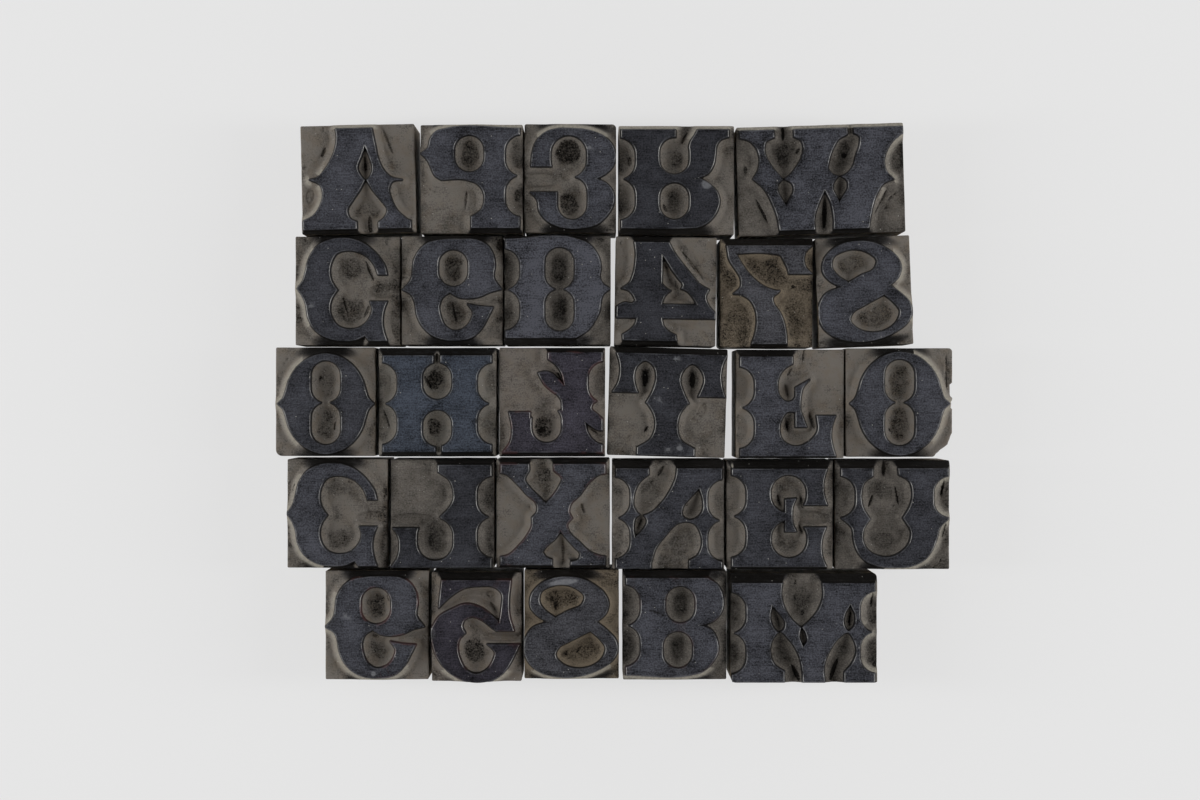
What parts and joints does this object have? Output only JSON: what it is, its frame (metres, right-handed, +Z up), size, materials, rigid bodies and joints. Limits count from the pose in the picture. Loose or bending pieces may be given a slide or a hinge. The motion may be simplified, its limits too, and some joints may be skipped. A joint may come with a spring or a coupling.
{
  "type": "set of wood type",
  "caption": "Loose wooden printing type: rectangular end-grain sorts with mirrored letters and figures cut in relief, laid in close rows; each sort lifts out.",
  "frame": {"origin": "centre of the set on the bed, where the feet of the sorts stand", "axes": "+X along the rows to the right, +Y from the foot to the head of the rows, +Z up to the printing faces"},
  "size_m": [0.1576, 0.1303, 0.0233],
  "materials": {
    "inked_wood": "end-grain hardwood, ink-stained and worn, dark slate printing faces"
  },
  "bodies": {
    "letter_t": {"letter_t": "inked_wood"},
    "letter_a": {"letter_a": "inked_wood"},
    "letter_p": {"letter_p": "inked_wood"},
    "figure_3": {"figure_3": "inked_wood"},
    "letter_r": {"letter_r": "inked_wood"},
    "letter_w": {"letter_w": "inked_wood"},
    "letter_c_1": {"letter_c_1": "inked_wood"},
    "figure_9_1": {"figure_9_1": "inked_wood"},
    "letter_d": {"letter_d": "inked_wood"},
    "figure_4": {"figure_4": "inked_wood"},
    "figure_7": {"figure_7": "inked_wood"},
    "figure_8_1": {"figure_8_1": "inked_wood"},
    "letter_o_1": {"letter_o_1": "inked_wood"},
    "letter_h": {"letter_h": "inked_wood"},
    "letter_l_stroke": {"letter_l_stroke": "inked_wood"},
    "letter_f": {"letter_f": "inked_wood"},
    "letter_o_2": {"letter_o_2": "inked_wood"},
    "letter_c_2": {"letter_c_2": "inked_wood"},
    "letter_l": {"letter_l": "inked_wood"},
    "letter_x": {"letter_x": "inked_wood"},
    "letter_n": {"letter_n": "inked_wood"},
    "letter_e": {"letter_e": "inked_wood"},
    "letter_u": {"letter_u": "inked_wood"},
    "figure_9_2": {"figure_9_2": "inked_wood"},
    "figure_5": {"figure_5": "inked_wood"},
    "figure_8_2": {"figure_8_2": "inked_wood"},
    "letter_b": {"letter_b": "inked_wood"},
    "letter_m": {"letter_m": "inked_wood"}
  },
  "joints": [
    {"name": "lift_letter_a", "type": "slide", "parent": "letter_t", "child": "letter_a", "axis": [0, 0, 1], "range_m": [0, 0.03]},
    {"name": "lift_letter_p", "type": "slide", "parent": "letter_t", "child": "letter_p", "axis": [0, 0, 1], "range_m": [0, 0.03]},
    {"name": "lift_figure_3", "type": "slide", "parent": "letter_t", "child": "figure_3", "axis": [0, 0, 1], "range_m": [0, 0.03]},
    {"name": "lift_letter_r", "type": "slide", "parent": "letter_t", "child": "letter_r", "axis": [0, 0, 1], "range_m": [0, 0.03]},
    {"name": "lift_letter_w", "type": "slide", "parent": "letter_t", "child": "letter_w", "axis": [0, 0, 1], "range_m": [0, 0.03]},
    {"name": "lift_letter_c_1", "type": "slide", "parent": "letter_t", "child": "letter_c_1", "axis": [0, 0, 1], "range_m": [0, 0.03]},
    {"name": "lift_figure_9_1", "type": "slide", "parent": "letter_t", "child": "figure_9_1", "axis": [0, 0, 1], "range_m": [0, 0.03]},
    {"name": "lift_letter_d", "type": "slide", "parent": "letter_t", "child": "letter_d", "axis": [0, 0, 1], "range_m": [0, 0.03]},
    {"name": "lift_figure_4", "type": "slide", "parent": "letter_t", "child": "figure_4", "axis": [0, 0, 1], "range_m": [0, 0.03]},
    {"name": "lift_figure_7", "type": "slide", "parent": "letter_t", "child": "figure_7", "axis": [0, 0, 1], "range_m": [0, 0.03]},
    {"name": "lift_figure_8_1", "type": "slide", "parent": "letter_t", "child": "figure_8_1", "axis": [0, 0, 1], "range_m": [0, 0.03]},
    {"name": "lift_letter_o_1", "type": "slide", "parent": "letter_t", "child": "letter_o_1", "axis": [0, 0, 1], "range_m": [0, 0.03]},
    {"name": "lift_letter_h", "type": "slide", "parent": "letter_t", "child": "letter_h", "axis": [0, 0, 1], "range_m": [0, 0.03]},
    {"name": "lift_letter_l_stroke", "type": "slide", "parent": "letter_t", "child": "letter_l_stroke", "axis": [0, 0, 1], "range_m": [0, 0.03]},
    {"name": "lift_letter_f", "type": "slide", "parent": "letter_t", "child": "letter_f", "axis": [0, 0, 1], "range_m": [0, 0.03]},
    {"name": "lift_letter_o_2", "type": "slide", "parent": "letter_t", "child": "letter_o_2", "axis": [0, 0, 1], "range_m": [0, 0.03]},
    {"name": "lift_letter_c_2", "type": "slide", "parent": "letter_t", "child": "letter_c_2", "axis": [0, 0, 1], "range_m": [0, 0.03]},
    {"name": "lift_letter_l", "type": "slide", "parent": "letter_t", "child": "letter_l", "axis": [0, 0, 1], "range_m": [0, 0.03]},
    {"name": "lift_letter_x", "type": "slide", "parent": "letter_t", "child": "letter_x", "axis": [0, 0, 1], "range_m": [0, 0.03]},
    {"name": "lift_letter_n", "type": "slide", "parent": "letter_t", "child": "letter_n", "axis": [0, 0, 1], "range_m": [0, 0.03]},
    {"name": "lift_letter_e", "type": "slide", "parent": "letter_t", "child": "letter_e", "axis": [0, 0, 1], "range_m": [0, 0.03]},
    {"name": "lift_letter_u", "type": "slide", "parent": "letter_t", "child": "letter_u", "axis": [0, 0, 1], "range_m": [0, 0.03]},
    {"name": "lift_figure_9_2", "type": "slide", "parent": "letter_t", "child": "figure_9_2", "axis": [0, 0, 1], "range_m": [0, 0.03]},
    {"name": "lift_figure_5", "type": "slide", "parent": "letter_t", "child": "figure_5", "axis": [0, 0, 1], "range_m": [0, 0.03]},
    {"name": "lift_figure_8_2", "type": "slide", "parent": "letter_t", "child": "figure_8_2", "axis": [0, 0, 1], "range_m": [0, 0.03]},
    {"name": "lift_letter_b", "type": "slide", "parent": "letter_t", "child": "letter_b", "axis": [0, 0, 1], "range_m": [0, 0.03]},
    {"name": "lift_letter_m", "type": "slide", "parent": "letter_t", "child": "letter_m", "axis": [0, 0, 1], "range_m": [0, 0.03]}
  ]
}
